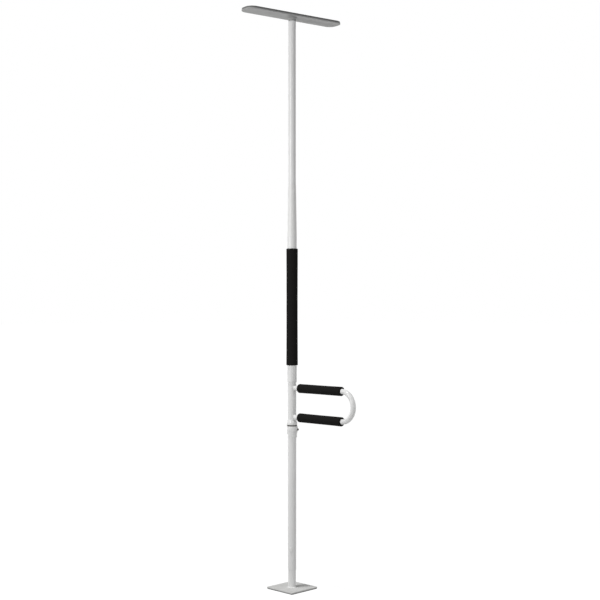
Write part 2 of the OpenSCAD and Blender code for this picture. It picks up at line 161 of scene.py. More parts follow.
tree.links.new(look.outputs[0], mix.inputs[2])
output = tree.nodes.new("ShaderNodeOutputMaterial")
tree.links.new(mix.outputs[0], output.inputs["Surface"])

corners = np.array([(-1, -1), (1, -1), (1, 1), (-1, 1)]) * FLOOR_HALF
floor_mesh = bpy.data.meshes.new("studio_floor")
floor_mesh.from_pydata([(x, y, -FLOOR_DROP) for x, y in corners.tolist()], [], [range(4)])
floor_mesh.materials.append(floor_white)
floor = bpy.data.objects.new("studio_floor", floor_mesh)
bpy.context.scene.collection.objects.link(floor)


def panel(name, left, distance, height, size, power, aim):
    """Upright area lamp, aimed at a height on the pole.

    It stands left degrees round from the camera's side; lengths are metres and power is watts.
    """
    lamp = bpy.data.objects.new(name, bpy.data.lights.new(name, "AREA"))
    bpy.context.scene.collection.objects.link(lamp)
    lamp.data.shape = "RECTANGLE"
    lamp.data.size, lamp.data.size_y = size
    lamp.data.energy = power
    bearing = math.radians(left)
    side = -away * math.cos(bearing) - right * math.sin(bearing)
    lamp.location = side * distance + up * height
    lamp.rotation_euler = (up * aim - lamp.location).to_track_quat("-Z", "Y").to_euler()
    print(name, "at", [round(x, 2) for x in lamp.location])


panel("key_panel", left=51, distance=2.2, height=1.8, size=(0.3, 1.8), power=29, aim=1.5)
panel("fill_panel", left=-62, distance=2.4, height=0.8, size=(1.0, 1.6), power=9, aim=0.7)

HIGH_LEFT = math.radians(70)
HIGH_RISE = math.radians(78)
HIGH_ENERGY = 1.15
HIGH_SPREAD = math.radians(6)
high_light = bpy.data.objects.new("high_light", bpy.data.lights.new("high_light", "SUN"))
bpy.context.scene.collection.objects.link(high_light)
high_light.data.energy = HIGH_ENERGY
high_light.data.angle = HIGH_SPREAD
level_part = -away * math.cos(HIGH_LEFT) - right * math.sin(HIGH_LEFT)
towards = level_part * math.cos(HIGH_RISE) + up * math.sin(HIGH_RISE)
high_light.rotation_euler = towards.to_track_quat("Z", "Y").to_euler()
print("high light from", [round(x, 2) for x in towards])

# %% [markdown]
# ## Finishes
#
# Almost all of the pole is steel tube under white powder coat: a satin skin with a fine orange
# peel and slight changes of gloss. The grips are black closed-cell foam, matt and finely pored.
# The pads are rubber, the small parts are zinc, blackened steel, bronze and nylon. A picture
# could be wrapped on, but noise in the piece's own coordinates needs no picture and keeps its
# grain size on every piece.


# %% Finishes
NOISE_LOW, NOISE_HIGH = 0.3, 0.7


def finish(slot, dark, light, patch, gloss, grain, relief, metal=0.0, specular=0.5):
    """A finish from three noises: broad patches of colour, patches of gloss, and a fine relief.

    dark and light are the two ends of the colour; patch, gloss[2] and grain are sizes in
    millimetres; gloss is (low, high, size) of the roughness; relief is the height of the grain in
    millimetres. Most of a noise lies between NOISE_LOW and NOISE_HIGH, so that span is stretched
    to the ends.
    """
    material = bpy.data.materials.new(slot)
    material.use_nodes = True
    tree = material.node_tree
    shader = tree.nodes["Principled BSDF"]
    shader.inputs["Metallic"].default_value = metal
    shader.inputs["Specular IOR Level"].default_value = specular
    place = tree.nodes.new("ShaderNodeTexCoord").outputs["Object"]

    def noise(size, detail):
        """Soft noise whose spots are about size millimetres across."""
        node = tree.nodes.new("ShaderNodeTexNoise")
        node.inputs["Scale"].default_value = 1 / (size * MM)
        node.inputs["Detail"].default_value = detail
        tree.links.new(place, node.inputs["Vector"])
        return node.outputs["Fac"]

    colour = tree.nodes.new("ShaderNodeValToRGB")
    colour.color_ramp.elements[0].position = NOISE_LOW
    colour.color_ramp.elements[1].position = NOISE_HIGH
    colour.color_ramp.elements[0].color = (*dark, 1)
    colour.color_ramp.elements[1].color = (*light, 1)
    tree.links.new(noise(patch, 3), colour.inputs["Fac"])
    tree.links.new(colour.outputs["Color"], shader.inputs["Base Color"])
    rough = tree.nodes.new("ShaderNodeMapRange")
    rough.inputs["From Min"].default_value = NOISE_LOW
    rough.inputs["From Max"].default_value = NOISE_HIGH
    rough.inputs["To Min"].default_value = gloss[0]
    rough.inputs["To Max"].default_value = gloss[1]
    tree.links.new(noise(gloss[2], 2), rough.inputs["Value"])
    tree.links.new(rough.outputs["Result"], shader.inputs["Roughness"])
    bump = tree.nodes.new("ShaderNodeBump")
    bump.inputs["Strength"].default_value = 1
    bump.inputs["Distance"].default_value = relief * MM
    tree.links.new(noise(grain, 2), bump.inputs["Height"])
    tree.links.new(bump.outputs["Normal"], shader.inputs["Normal"])
    return material


FINISHES = {
    "white_coat": finish(
        "white_coat", (0.86, 0.86, 0.855), (0.90, 0.90, 0.895), patch=60, gloss=(0.18, 0.24, 25),
        grain=1.6, relief=0.015, specular=0.4),
    # grey_coat: partly the ceiling head's own grey paint and partly painted shade of its underside.
    "grey_coat": finish(
        "grey_coat", (0.335, 0.335, 0.33), (0.37, 0.37, 0.365), patch=60, gloss=(0.36, 0.44, 25),
        grain=1.6, relief=0.02, specular=0.4),
    "bright_steel": finish(
        "bright_steel", (0.62, 0.63, 0.65), (0.72, 0.73, 0.74), patch=8, gloss=(0.25, 0.40, 4),
        grain=0.5, relief=0.01, metal=1),
    "black_steel": finish(
        "black_steel", (0.06, 0.056, 0.052), (0.08, 0.075, 0.07), patch=6, gloss=(0.32, 0.48, 3),
        grain=0.5, relief=0.01, metal=0.4),
    "bronze": finish(
        "bronze", (0.55, 0.40, 0.20), (0.68, 0.52, 0.30), patch=8, gloss=(0.3, 0.45, 4),
        grain=0.6, relief=0.01, metal=1),
    "white_nylon": finish(
        "white_nylon", (0.84, 0.84, 0.83), (0.88, 0.88, 0.87), patch=20, gloss=(0.32, 0.40, 6),
        grain=0.8, relief=0.015),
    "black_foam": finish(
        "black_foam", (0.013, 0.0125, 0.012), (0.018, 0.0175, 0.017), patch=3,
        gloss=(0.7, 0.85, 12), grain=0.9, relief=0.1, specular=0.01),
    "grey_rubber": finish(
        "grey_rubber", (0.10, 0.10, 0.10), (0.12, 0.12, 0.12), patch=10, gloss=(0.42, 0.52, 6),
        grain=0.7, relief=0.03),
}
# A darker copy of the white coat for the floor plate: its lower colour is painted shade on the
# plate, and it is matt with almost no reflection.
painted_shade_coat = finish(
    "white_coat_painted_shade", (0.63, 0.63, 0.62), (0.70, 0.70, 0.69), patch=35, gloss=(0.60, 0.75, 10),
    grain=1.6, relief=0.03, specular=0.03)
for subpart in frame["record"]["subparts"]:
    solid = frame["nodes"][subpart["node"]]
    solid.data.materials.clear()
    solid.data.materials.append(FINISHES[subpart["material_slot"]])
print("finishes:", sorted(FINISHES))

# %% [markdown]
# ## From arrays to pieces
#
# Most pieces are turned on a lathe or bent from tube, so nearly every surface is a grid of
# points: one direction goes along an outline, the other goes round. The helpers below turn such a
# grid into a mesh and hang it on a body of the frame. Corners are rounded as a file would break
# them, because an edge with no radius catches no light and looks false.


# %% Helpers
FIT = 0.05
MOST_OF_SIDE, HOLD_SHARE = 0.45, 0.1


def full_turn(steps):
    """Angles of one turn in even steps, without the last, which is the first again."""
    return np.linspace(0, TURN, steps, endpoint=False)


def quarter_turn(steps):
    """Angles from zero to a quarter turn, both included."""
    return np.linspace(0, np.pi / 2, steps)


def soften(corners, radii, steps=5, hold=0.3):
    """Closed outline with rounded corners, as an array of points.

    An arc that touches both sides replaces each corner; its centre lies on the corner's bisector
    at radius / sin(half angle). No arc takes more than MOST_OF_SIDE of a side. One point before
    and one after each arc hold the flat sides flat: hold away, or HOLD_SHARE of a short side.
    """
    corners = np.asarray(corners, float)
    radii = np.broadcast_to(np.asarray(radii, float), len(corners))
    back = np.roll(corners, 1, axis=0) - corners
    ahead = np.roll(corners, -1, axis=0) - corners
    reach_back = np.linalg.norm(back, axis=1)
    reach_ahead = np.linalg.norm(ahead, axis=1)
    back = back / reach_back[:, None]
    ahead = ahead / reach_ahead[:, None]
    half = 0.5 * np.arccos(np.clip((back * ahead).sum(axis=1), -1, 1))
    cut = np.minimum(radii / np.tan(half), MOST_OF_SIDE * np.minimum(reach_back, reach_ahead))
    radius = cut * np.tan(half)
    bisector = back + ahead
    bisector = bisector / np.linalg.norm(bisector, axis=1)[:, None]
    centre = corners + bisector * (radius / np.sin(half))[:, None]
    start = corners + back * cut[:, None]
    end = corners + ahead * cut[:, None]
    swing = (np.pi - 2 * half)[:, None]
    share = np.linspace(0, 1, steps + 1)[None, :]
    start_part = (np.sin((1 - share) * swing) / np.sin(swing))[..., None]
    end_part = (np.sin(share * swing) / np.sin(swing))[..., None]
    from_start = start_part * (start - centre)[:, None]
    from_end = end_part * (end - centre)[:, None]
    arc = centre[:, None] + from_start + from_end
    before = start + back * np.minimum(hold, HOLD_SHARE * reach_back)[:, None]
    after = end + ahead * np.minimum(hold, HOLD_SHARE * reach_ahead)[:, None]
    return np.concatenate([before[:, None], arc, after[:, None]], axis=1).reshape(-1, 2)


def about_axis(radius, angle, height):
    """Points at a radius, an angle and a height about the Z axis, broadcast to one grid."""
    grid = np.broadcast_arrays(radius * np.cos(angle), radius * np.sin(angle), height)
    return np.stack(grid, axis=-1)


def lathe(outline, around=96):
    """Grid of points: each outline point (radius, height) goes once round the pole's axis."""
    return about_axis(outline[:, 0, None], full_turn(around), outline[:, 1, None])


def grid_faces(rows, columns, closed, first):
    """Four-sided faces between neighbouring rows of points, which are numbered from first.

    Columns always close, rows close if asked; open ends get one flat face each.
    """
    index = first + np.arange(rows * columns).reshape(rows, columns)
    above = np.roll(index, -1, axis=0)
    if not closed:
        index, above = index[:-1], above[:-1]
    beside, opposite = np.roll(index, -1, axis=1), np.roll(above, -1, axis=1)
    faces = np.stack([index, beside, opposite, above], axis=-1).reshape(-1, 4).tolist()
    if not closed:
        end = first + np.arange(columns)
        faces += [end[::-1].tolist(), (end + (rows - 1) * columns).tolist()]
    return faces


def make_piece(name, grids, body, slot, replaced=(), closed=True, sharp=50, material=None):
    """One object from one or more grids of millimetre points, set on its body, with its finish."""
    points, faces = [], []
    for grid in grids:
        first = sum(len(part) for part in points)
        grid = np.asarray(grid, float)
        faces += grid_faces(*grid.shape[:2], closed, first)
        points.append(grid.reshape(-1, 3))
    mesh = bpy.data.meshes.new(name)
    mesh.from_pydata(np.concatenate(points) * MM, [], faces)
    mesh.update()
    mesh.calc_loop_triangles()
    place = np.empty(len(mesh.vertices) * 3)
    mesh.vertices.foreach_get("co", place)
    corners = np.empty(len(mesh.loop_triangles) * 3, int)
    mesh.loop_triangles.foreach_get("vertices", corners)
    a, b, c = place.reshape(-1, 3)[corners.reshape(-1, 3)].transpose(1, 0, 2)
    volume = (a * np.cross(b, c)).sum() / 6
    if volume < 0:
        mesh.flip_normals()
    mesh.shade_smooth()
    mesh.set_sharp_from_angle(angle=math.radians(sharp))
    mesh.materials.append(material or FINISHES[slot])
    piece = bpy.data.objects.new(name, mesh)
    bpy.context.scene.collection.objects.link(piece)
    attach(piece, body)
    if replaced:
        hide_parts(*replaced)
    print(f"{name}: {len(faces)} faces, {abs(volume) / CM3:.1f} cm3, rides on {body}")
    return piece


def span(node):
    """Lowest and highest corner of a bare solid, in millimetres."""
    low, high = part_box(node)
    return np.array(low) / MM, np.array(high) / MM


def reach(node, azimuth):
    """Nearest and farthest point of a bare solid along a level direction, in millimetres."""
    mesh = frame["nodes"][node].data
    place = np.empty(len(mesh.vertices) * 3)
    mesh.vertices.foreach_get("co", place)
    direction = np.array([math.cos(math.radians(azimuth)), math.sin(math.radians(azimuth)), 0])
    along = place.reshape(-1, 3) @ direction / MM
    return along.min(), along.max()


def tube_outline(outer_d, inner_d, low, high, edge=0.4):
    """Wall of a tube cut through its axis, with broken edges."""
    outer, inner = outer_d / 2, inner_d / 2
    return soften([(outer, low), (outer, high), (inner, high), (inner, low)], edge)


def outward(points, azimuth, height):
    """Lays points drawn along Z so that they point away from the pole, at a height on it."""
    tip_over = Matrix.Rotation(math.radians(90), 3, "Y")
    turn = Matrix.Rotation(math.radians(azimuth), 3, "Z") @ tip_over
    return np.asarray(points) @ np.array(turn).T + (0, 0, height)


# %% [markdown]
# ## Floor plate and pads
#
# The foot is a square steel plate on a thin rubber pad, and the head is a long plate with round
# ends under a thicker pad than the floor's. A cube with a bevel would do for the square plate but
# not for the round ends, so both are one outline of four arcs and four sides, drawn smaller or
# larger as it climbs the edge.

# %% Plates and pads
LEAST_CORNER = 0.2


def slab(length, width, corner, low, high, edge, turn=0, steps=6, per_corner=16, hold=1):
    """Flat plate: rows climb the rounded edge, and each is the outline moved in by an inset.

    Over a quarter turn t of the edge, inset is edge * (1 - sin t) and height is edge * (1 - cos t).
    A corner keeps LEAST_CORNER of its radius; past that the sides move in with it.
    """
    t = quarter_turn(steps)
    inset = edge * (1 - np.sin(t))
    rise = edge * (1 - np.cos(t))
    inset = np.concatenate([[edge + hold], inset, inset[::-1], [edge + hold]])
    height = np.concatenate([[low], low + rise, high - rise[::-1], [high]])
    angle = (np.arange(4)[:, None] * np.pi / 2 + quarter_turn(per_corner)).reshape(-1)
    side = np.repeat(np.array([(1, 1), (-1, 1), (-1, -1), (1, -1)]), per_corner, axis=0)
    radius = np.maximum(corner - inset, LEAST_CORNER)[:, None]
    x = side[:, 0] * (length / 2 - corner) + radius * np.cos(angle)
    y = side[:, 1] * (width / 2 - corner) + radius * np.sin(angle)
    spill = np.minimum(corner - inset - LEAST_CORNER, 0)[:, None]
    x, y = x + side[:, 0] * spill, y + side[:, 1] * spill
    c, s = math.cos(math.radians(turn)), math.sin(math.radians(turn))
    height = np.broadcast_to(height[:, None], x.shape)
    return np.stack([c * x - s * y, s * x + c * y, height], axis=-1)


PLATE_CORNER, PLATE_EDGE, FLOOR_PAD_EDGE = 4, 0.9, 0.5
HEAD_CORNER, HEAD_EDGE, HEAD_PAD_EDGE = 34, 2, 0.8
HEAD_AZIMUTH = 81
HEAD_SIZE = np.array([488, 88])
PAD_INSET = 1
low, high = span("floor_plate")
plate = slab(*(high - low)[:2], PLATE_CORNER, low[2], high[2], PLATE_EDGE)
# The floor plate wears the darker copy of the white coat, whose colour is painted shade.
make_piece("floor_plate_coated", [plate], "foot", "white_coat", ["floor_plate"],
           closed=False, material=painted_shade_coat)
low, high = span("floor_pad")
pad = slab(*(high - low)[:2], PLATE_CORNER, low[2], high[2], FLOOR_PAD_EDGE)
make_piece("floor_pad_rubber", [pad], "foot", "grey_rubber", ["floor_pad"], closed=False)
low, high = span("ceiling_plate")
plate = slab(*HEAD_SIZE, HEAD_CORNER, low[2], high[2], HEAD_EDGE, HEAD_AZIMUTH)
# The ceiling plate's grey is partly its own paint and partly painted shade under it.
make_piece("ceiling_plate_coated", [plate], "ceiling_head", "grey_coat", ["ceiling_plate"],
           closed=False)
low, high = span("ceiling_pad")
pad = slab(*(HEAD_SIZE - 2 * PAD_INSET), HEAD_CORNER, low[2], high[2], HEAD_PAD_EDGE, HEAD_AZIMUTH)
make_piece("ceiling_pad_rubber", [pad], "ceiling_head", "grey_rubber", ["ceiling_pad"],
           closed=False)

# %% [markdown]
# ## Foot post and jack screw
#
# A short post is welded on the floor plate, and the jack screw stands in it. At rest the tube
# comes down to the post and hides the screw; once the pole is raised, a trapezoid thread shows
# between them. A helix could be swept round a rod, but the thread is only a radius that depends
# on height and angle, so the whole screw is one grid. The weld bead at the post's foot is a ring
# whose thickness ripples.

# %% Foot post and jack screw
SCREW_R, POST_R, POST_EDGE = 12.5, 16.6, 0.5
WELD_R, WELD_RIPPLE, WELD_RIPPLES, WELD_DRIFT = 2.2, 0.08, 34, 1.5
low, high = span("foot_post")
post = lathe(tube_outline(2 * POST_R, 2 * (SCREW_R + FIT), low[2], high[2], POST_EDGE))
turn, across = full_turn(192)[:, None], full_turn(16)[None, :]
bead = WELD_R * (1 + WELD_RIPPLE * np.sin(WELD_RIPPLES * turn + WELD_DRIFT * np.sin(2 * turn)))
weld = about_axis(POST_R + bead * np.cos(across), turn, low[2] + bead * np.sin(across))
make_piece("foot_post_coated", [post, weld], "foot", "white_coat", ["foot_post"])

PITCH, THREAD_DEPTH, CREST, FLANK = 6, 2.2, 0.36, 0.14
THREAD_SUNK, RUN_OUT_GAP, RUN_OUT, END_CHAMFER = 20, 1, 2, 1.5
ROW_STEP, LAST_ROW = 0.4, 0.01
thread_start = high[2] - THREAD_SUNK
low, high = span("jack_screw")
height = np.arange(low[2], high[2] + LAST_ROW, ROW_STEP)[:, None]
angle = full_turn(72)[None, :]
lead = np.mod(height / PITCH - angle / TURN, 1)
groove = np.clip((np.abs(lead - 0.5) - CREST / 2) / FLANK, 0, 1)
run_in = np.clip((height - thread_start) / PITCH, 0, 1)
run_out = np.clip((high[2] - RUN_OUT_GAP - height) / RUN_OUT, 0, 1)
chamfer = END_CHAMFER * np.clip(1 - (high[2] - height) / END_CHAMFER, 0, 1)
screw = about_axis(SCREW_R - THREAD_DEPTH * groove * run_in * run_out - chamfer, angle, height)
make_piece("jack_screw_threaded", [screw], "foot", "bright_steel", ["jack_screw"], closed=False)

# %% [markdown]
# ## Tubes
#
# Three tubes make the height: the lower tube that turns on the screw, the grip tube, and the top
# tube that slides in it. Each is a plain lathe shape with a wall, and a bought tube needs no more
# than broken edges at its ends. The jack nut closes the lower tube, and a long tapered bush
# closes the grip tube; both are closed outlines turned round the axis.

# %% Tubes
LOWER_OD, LOWER_WALL = 35.5, 2
GRIP_TUBE_OD, GRIP_TUBE_WALL = 40, 1.7
TOP_OD, TOP_WALL = 32, 2
for name, node, body, outer_d, wall in [
    ("lower_tube_coated", "lower_tube", "turning_tube", LOWER_OD, LOWER_WALL),
    ("grip_tube_coated", "grip_tube", "column", GRIP_TUBE_OD, GRIP_TUBE_WALL),
    ("top_tube_coated", "top_tube", "top_section", TOP_OD, TOP_WALL),
]:
    low, high = span(node)
    outline = tube_outline(outer_d, outer_d - 2 * wall, low[2], high[2])
    make_piece(name, [lathe(outline)], body, "white_coat", [node])

NUT_RIM, NUT_EDGE = 3, 0.5
low, high = span("jack_nut")
rim_r, plug_r, bore_r = LOWER_OD / 2, LOWER_OD / 2 - LOWER_WALL, SCREW_R + FIT
rim_z = low[2] + NUT_RIM
nut = soften([(rim_r, low[2]), (rim_r, rim_z), (plug_r, rim_z),
              (plug_r, high[2]), (bore_r, high[2]), (bore_r, low[2])], NUT_EDGE)
make_piece("jack_nut_turned", [lathe(nut)], "turning_tube", "white_coat", ["jack_nut"])

BUSH_TAPER, BUSH_LIP = 220, 0.6
BUSH_ROUNDING = [0.3, 0.1, 0.6, 0.25, 0.15, 0.3]
low, high = span("grip_tube_bush")
rim_r, bore_r = GRIP_TUBE_OD / 2, TOP_OD / 2 + FIT
plug_r = GRIP_TUBE_OD / 2 - GRIP_TUBE_WALL - FIT
rim_z = high[2] - BUSH_TAPER
bush = soften([(plug_r, low[2]), (plug_r, rim_z), (rim_r, rim_z),
               (TOP_OD / 2 + BUSH_LIP, high[2]), (bore_r, high[2]), (bore_r, low[2])],
              BUSH_ROUNDING)
make_piece("grip_tube_bush_moulded", [lathe(bush)], "column", "white_nylon", ["grip_tube_bush"])

# %% [markdown]
# ## Slot plugs
#
# Low on the tube a tall oval plug closes the slot for the turning bar, with a twin on the far
# side. It is a moulded cap that hugs the tube. Bending a flat cap with a modifier would work;
# here each point of the oval is simply wrapped round the tube, with a dome on top that falls off
# to the rim.

# %% Slot plugs
PLUG_AZIMUTH = -62
PLUG_W, PLUG_H, PLUG_DOME, PLUG_SINK = 13, 23, 2, 1
PLUG_MIDDLE, PLUG_SHOULDER, PLUG_FULLNESS = 0.05, 6, 6
low, high = span("bar_slot_plugs")
plug_z = (low[2] + high[2]) / 2
angle = full_turn(64)[None, :]
# Rows crowd towards the rim, where the dome bends down.
over = np.concatenate([np.linspace(PLUG_MIDDLE, 0.8, 6), np.linspace(0.86, 1, 6)])
dome = PLUG_DOME * np.sqrt(1 - over ** PLUG_SHOULDER)
share = np.concatenate([over, [1, PLUG_MIDDLE]])[:, None]
lift = np.concatenate([dome, [-PLUG_SINK, -PLUG_SINK]])[:, None]
wrap = share * PLUG_W / 2 * np.cos(angle) / (LOWER_OD / 2)
ends = np.tanh(PLUG_FULLNESS * np.sin(angle))
along = share * (PLUG_W / 2 * np.sin(angle) + (PLUG_H - PLUG_W) / 2 * ends)
plugs = [about_axis(LOWER_OD / 2 + lift, math.radians(azimuth) + wrap, plug_z + along)
         for azimuth in (PLUG_AZIMUTH, PLUG_AZIMUTH + 180)]
make_piece("bar_slot_plugs_domed", plugs, "turning_tube", "white_nylon", ["bar_slot_plugs"],
           closed=False)

# %% [markdown]
# ## Lock collar
#
# The collar sits off centre on the tube, with more metal on the side of its bolt, and a skirt
# that is cut off along a slanting line. Shifted cylinders could be joined and cut by booleans,
# but seen from the pole's axis every level of it is one distance per direction, so it is one grid
# as well: each column starts on the slanting edge, and its radius is the larger of the cone's and
# the plain sleeve's.

# %% Lock collar
LOCK_AZIMUTH = 25
COLLAR_R, COLLAR_SHIFT, COLLAR_EDGE, COLLAR_HOLD = 23, 2, 1.6, 1
SKIRT_H, SKIRT_R, SKIRT_RISE, SKIRT_CHAMFER = 30, 15.75, 15, 1
SLEEVE_R, BORE_R, SHOULDER_DROP, TUBE_OVERLAP = 21, 14.3, 20, 0.3
low, high = span("lock_collar")
top_z, skirt_z = high[2], low[2]
straight_z, shoulder_z = skirt_z + SKIRT_H, top_z - SHOULDER_DROP
bearing = full_turn(128)
lean = bearing - math.radians(LOCK_AZIMUTH)
towards_bolt, across_bolt = COLLAR_SHIFT * np.cos(lean), COLLAR_SHIFT * np.sin(lean)
edge_z = skirt_z + SKIRT_RISE * (1 - np.cos(lean)) / 2
start = (edge_z + SKIRT_CHAMFER - skirt_z) / SKIRT_H
climb = start + (1 - start) * np.linspace(0, 1, 16)[:, None]
rim = quarter_turn(7)
rim_r = np.concatenate([[COLLAR_R], COLLAR_R - COLLAR_EDGE * (1 - np.cos(rim))])
rim_z = np.concatenate([[straight_z + COLLAR_HOLD], top_z - COLLAR_EDGE * (1 - np.sin(rim))])
rim_r, rim_z = rim_r[:, None] + 0 * bearing, rim_z[:, None] + 0 * bearing
turned_r = np.concatenate([SKIRT_R + (COLLAR_R - SKIRT_R) * climb, rim_r])
turned_z = np.concatenate([skirt_z + SKIRT_H * climb, rim_z])
outer = towards_bolt + np.sqrt(turned_r ** 2 - across_bolt ** 2)
outer[:len(climb)] = np.maximum(outer[:len(climb)], SLEEVE_R)
tube_r = LOWER_OD / 2 - TUBE_OVERLAP
inside_r = np.array([BORE_R, BORE_R, tube_r, tube_r])[:, None] + 0 * bearing
inside_z = np.array([top_z, shoulder_z, shoulder_z])[:, None] + 0 * bearing
collar = about_axis(np.concatenate([outer, inside_r]), bearing,
                    np.concatenate([turned_z, inside_z, edge_z[None]]))
make_piece("lock_collar_coated", [collar], "turning_tube", "white_coat", ["lock_collar"], sharp=40)

# %% [markdown]
# ## Lock bolts
#
# Two cap-headed bolts, blackened, with a knurled head and a hexagon socket. A bought screw would
# be modelled by cutting a prism out of a cylinder; as a grid, the socket is just rows whose
# radius follows a hexagon, which is the apothem divided by the cosine of the angle to the nearest
# flat.


# %% Lock bolts
BOLT_HEAD_H = 4
KNURL_ROWS, KNURLS, KNURL_DEPTH = (4, 5), 36, 0.02
FIRST_SOCKET_ROW = 10


def cap_bolt(length, shank_r=3, head_r=4.5, socket_r=2.3, socket_deep=2):
    """Bolt along Z from its tip: rows of (radius, height), the socket rows bent to a hexagon."""
    top = length + BOLT_HEAD_H
    rows = np.array([
        # chamfered tip and shank
        (shank_r - 1, 0), (shank_r, 1), (shank_r, length),
        # underside of the head and its knurled side
        (head_r - 0.4, length), (head_r, length + 0.4), (head_r, top - 1.1),
        # rounded shoulder
        (head_r - 0.3, top - 0.7), (head_r - 0.8, top - 0.2), (head_r - 1.1, top),
        # mouth of the socket, and its wall
        (socket_r + 0.5, top), (socket_r + 0.3, top - 0.1), (socket_r, top - 0.4),
        (socket_r, top - socket_deep)])
    row = np.arange(len(rows))[:, None]
    angle = full_turn(144)
    hexagon = math.cos(np.pi / 6) / np.cos(np.mod(angle, np.pi / 3) - np.pi / 6)
    knurl = KNURL_DEPTH * (1 + np.sin(KNURLS * angle))
    socket = np.where(row >= FIRST_SOCKET_ROW, hexagon, 1)
    shape = socket - np.where(np.isin(row, KNURL_ROWS), knurl, 0)
    return about_axis(rows[:, 0, None] * shape, angle, rows[:, 1, None])


HEIGHT_LOCK_AZIMUTH = 135
for name, node, body, azimuth in [
    ("lock_bolt_blackened", "lock_bolt", "jack_lock", LOCK_AZIMUTH),
    ("height_lock_bolt_blackened", "height_lock_bolt", "height_lock", HEIGHT_LOCK_AZIMUTH),
]:
    low, high = span(node)
    tip, end = reach(node, azimuth)
    bolt = cap_bolt(end - tip - BOLT_HEAD_H) + (0, 0, tip)
    bolt = outward(bolt, azimuth, (low[2] + high[2]) / 2)
    make_piece(name, [bolt], body, "black_steel", [node], closed=False, sharp=35)

# %% [markdown]
# ## Handle
#
# The handle is a D of bent tube welded to a hub that turns round the pole. The hub swells into a
# foot in a soft S, which two generous roundings of a plain turned outline give. The tube is a
# circle carried along two straights and a half circle; curves with a bevel would do it too, but
# the array keeps the seam and the ends under control.

# %% Handle hub and bent tube
HUB_R, HUB_FOOT_R, HUB_BORE_R, RECESS_R = 17.75, 22.25, 15.95, 20.85
FOOT_H, TAPER_H, RECESS_H = 8.5, 12.7, 4.2
HUB_ROUNDING = [0.8, 20, 30, 0.8, 0.3, 0.2, 0.3, 0.4]
low, high = span("handle_hub")
base, top = low[2], high[2]
hub = soften([(HUB_FOOT_R, base), (HUB_FOOT_R, base + FOOT_H),
              (HUB_R, base + FOOT_H + TAPER_H), (HUB_R, top),
              (HUB_BORE_R, top), (HUB_BORE_R, base + RECESS_H),
              (RECESS_R, base + RECESS_H), (RECESS_R, base)], HUB_ROUNDING)
make_piece("handle_hub_coated", [lathe(hub)], "handle", "white_coat", ["handle_hub"])

BAR_R, BAR_STRAIGHT, ROOT_SINK = 11, 290, 1.2
low, high = span("handle_bar")
lower_z, upper_z = low[2] + BAR_R, high[2] - BAR_R
middle_z, bend_r = (lower_z + upper_z) / 2, (upper_z - lower_z) / 2
straight = np.linspace(HUB_R - ROOT_SINK, BAR_STRAIGHT, 12)
flat = 0 * straight
swing = np.linspace(-np.pi / 2, np.pi / 2, 65)[1:-1]
spine_x = np.concatenate([straight, BAR_STRAIGHT + bend_r * np.cos(swing), straight[::-1]])
spine_z = np.concatenate([flat + lower_z, middle_z + bend_r * np.sin(swing), flat + upper_z])
normal_x = np.concatenate([flat, np.cos(swing), flat])[:, None]
normal_z = np.concatenate([flat - 1, np.sin(swing), flat + 1])[:, None]
angle = full_turn(48)[None, :]
bar = np.stack([spine_x[:, None] + BAR_R * np.cos(angle) * normal_x,
                BAR_R * np.sin(angle) + 0 * normal_x,
                spine_z[:, None] + BAR_R * np.cos(angle) * normal_z], axis=-1)
make_piece("handle_bar_coated", [bar], "handle", "white_coat", ["handle_bar"], closed=False)

# %% [markdown]
# ## Weld beads
#
# Where each bar meets the hub, a bead of weld lies under the coat. Its middle follows the curve
# in which a thin cylinder cuts a thick one: go round the bar, and the distance from the pole's
# axis is the root of hub radius squared minus the sideways step squared. Small ripples show the
# welder's pace.


# %% Weld beads
def weld_bead(tube_r, bar_r, bead_r, ripples, ripple=0.06):
    """Ring of weld where a bar stands on a tube, as (out, side, up) seen from the tube's axis.

    Round the bar, side is bar_r * cos and up is bar_r * sin; out is the root of tube_r squared
    minus side squared. The bead is a circle about that curve, spread between the normals of the
    tube and the bar.
    """
    turn, across = full_turn(208)[:, None], full_turn(16)[None, :]
    side = bar_r * np.cos(turn)
    out = np.sqrt(tube_r ** 2 - side ** 2)
    bead = bead_r * (1 + ripple * np.sin(ripples * turn))
    off_tube, off_bar = bead * np.cos(across), bead * np.sin(across)
    return np.stack([out + off_tube * out / tube_r,
                     side + off_tube * side / tube_r + off_bar * np.cos(turn),
                     (bar_r + off_bar) * np.sin(turn)], axis=-1)


BEAD_R, BEAD_RIPPLES = 1.9, 26
bar_bead = weld_bead(HUB_R, BAR_R, BEAD_R, BEAD_RIPPLES)
beads = [bar_bead + (0, 0, bar_z) for bar_z in (lower_z, upper_z)]
make_piece("handle_weld_beads", beads, "handle", "white_coat")

# %% [markdown]
# ## Height lock boss
#
# On the far side of the grip tube a short boss takes the bolt that holds the top tube. It is a
# turned stub whose inner end is cut to the tube, so its first and last rows lie on the same kind
# of curve as a weld bead, and a bead goes round its root.

# %% Height lock boss
STUB_R, STUB_HOLE, STUB_EDGE, STUB_CHAMFER = 7, 3.05, 0.8, 0.4
STUB_BEAD_R, STUB_BEAD_RIPPLES = 1.3, 14
low, high = span("height_lock_boss")
stub_end = reach("height_lock_boss", HEIGHT_LOCK_AZIMUTH)[1]
rim = quarter_turn(6)
rim_r = STUB_R - STUB_EDGE * (1 - np.cos(rim))
rim_z = stub_end - STUB_EDGE * (1 - np.sin(rim))
ring = np.concatenate([[STUB_R], rim_r, [STUB_HOLE + STUB_CHAMFER, STUB_HOLE, STUB_HOLE]])[:, None]
out = np.concatenate([[0], rim_z, [stub_end, stub_end - STUB_CHAMFER, 0]])[:, None]
angle = full_turn(64)[None, :]
side = ring * np.cos(angle)
out = np.maximum(out, np.sqrt((GRIP_TUBE_OD / 2 + FIT) ** 2 - side ** 2))
stub = np.stack([-ring * np.sin(angle), side, out], axis=-1)
